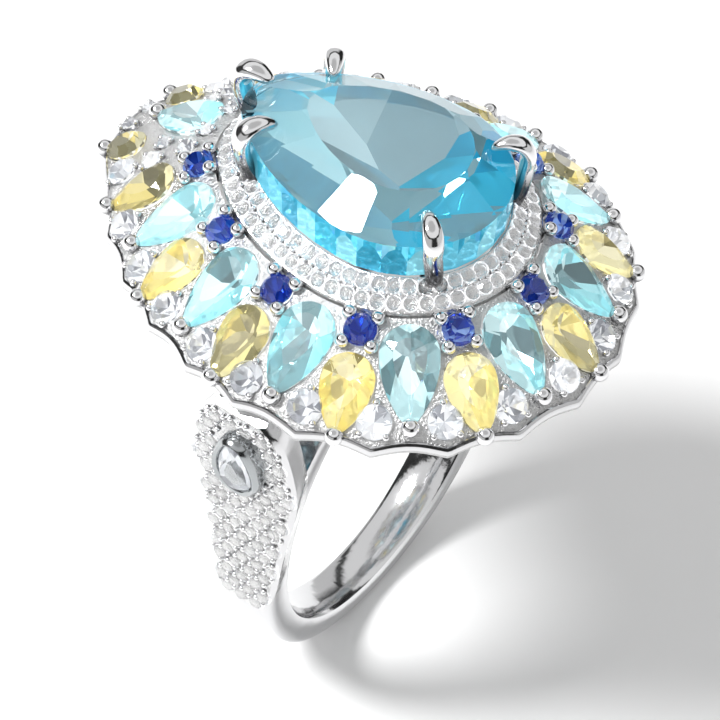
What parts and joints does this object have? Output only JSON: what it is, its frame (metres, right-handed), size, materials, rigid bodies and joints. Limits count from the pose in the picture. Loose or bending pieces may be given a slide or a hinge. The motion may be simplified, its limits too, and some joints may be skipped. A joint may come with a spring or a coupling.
{
  "type": "cocktail ring",
  "caption": "Cocktail ring: a claw-set pear centre stone over a halo and a domed sunburst of small pear and round stones, on a cathedral shank with bezel-set shoulders.",
  "frame": {"origin": "centre of the finger hole, in the band's middle plane", "axes": "+Z from the finger up to the centre stone, +Y along the finger towards the pear's tip, +X across the finger"},
  "size_m": [0.0262, 0.0296, 0.0343],
  "materials": {
    "shank_metal": "bright rhodium-white polish, with bead-set pave on the shoulders",
    "dome_metal": "bright rhodium-white, bead-set and grained between the stones, polished rim",
    "halo_metal": "bright rhodium-white, bead-set pave between polished edges",
    "claw_metal": "mirror-polished rhodium-white wire",
    "bezel_metal": "mirror-polished rhodium-white cup",
    "centre_stone": "faceted, polished, light blue",
    "aqua_stone": "faceted, polished, pale aqua",
    "yellow_stone": "faceted, polished, pale lemon",
    "blue_stone": "faceted, polished, deep blue",
    "clear_stone": "faceted, polished, colourless"
  },
  "bodies": {
    "root": {"aqua_pear_01": "aqua_stone", "aqua_pear_02": "aqua_stone", "aqua_pear_03": "aqua_stone", "aqua_pear_04": "aqua_stone", "aqua_pear_05": "aqua_stone", "aqua_pear_06": "aqua_stone", "aqua_pear_07": "aqua_stone", "aqua_pear_08": "aqua_stone", "aqua_pear_09": "aqua_stone", "aqua_pear_10": "aqua_stone", "aqua_pear_11": "aqua_stone", "basket_lower_rail": "claw_metal", "basket_seat_rail": "claw_metal", "bezel_left": "bezel_metal", "bezel_right": "bezel_metal", "bezel_stone_left": "clear_stone", "bezel_stone_right": "clear_stone", "blue_round_01": "blue_stone", "blue_round_02": "blue_stone", "blue_round_03": "blue_stone", "blue_round_04": "blue_stone", "blue_round_05": "blue_stone", "blue_round_06": "blue_stone", "blue_round_07": "blue_stone", "blue_round_08": "blue_stone", "blue_round_09": "blue_stone", "blue_round_10": "blue_stone", "blue_round_11": "blue_stone", "centre_stone": "centre_stone", "claw_lower_left": "claw_metal", "claw_lower_right": "claw_metal", "claw_tip": "claw_metal", "claw_upper_left": "claw_metal", "claw_upper_right": "claw_metal", "dome_plate": "dome_metal", "gallery_arm_1": "claw_metal", "gallery_arm_2": "claw_metal", "gallery_arm_3": "claw_metal", "gallery_arm_4": "claw_metal", "halo_ring": "halo_metal", "shank": "shank_metal", "tip_yellow_left": "yellow_stone", "tip_yellow_right": "yellow_stone", "yellow_pear_01": "yellow_stone", "yellow_pear_02": "yellow_stone", "yellow_pear_03": "yellow_stone", "yellow_pear_04": "yellow_stone", "yellow_pear_05": "yellow_stone", "yellow_pear_06": "yellow_stone", "yellow_pear_07": "yellow_stone", "yellow_pear_08": "yellow_stone", "yellow_pear_09": "yellow_stone", "yellow_pear_10": "yellow_stone", "yellow_pear_11": "yellow_stone"}
  },
  "joints": []
}
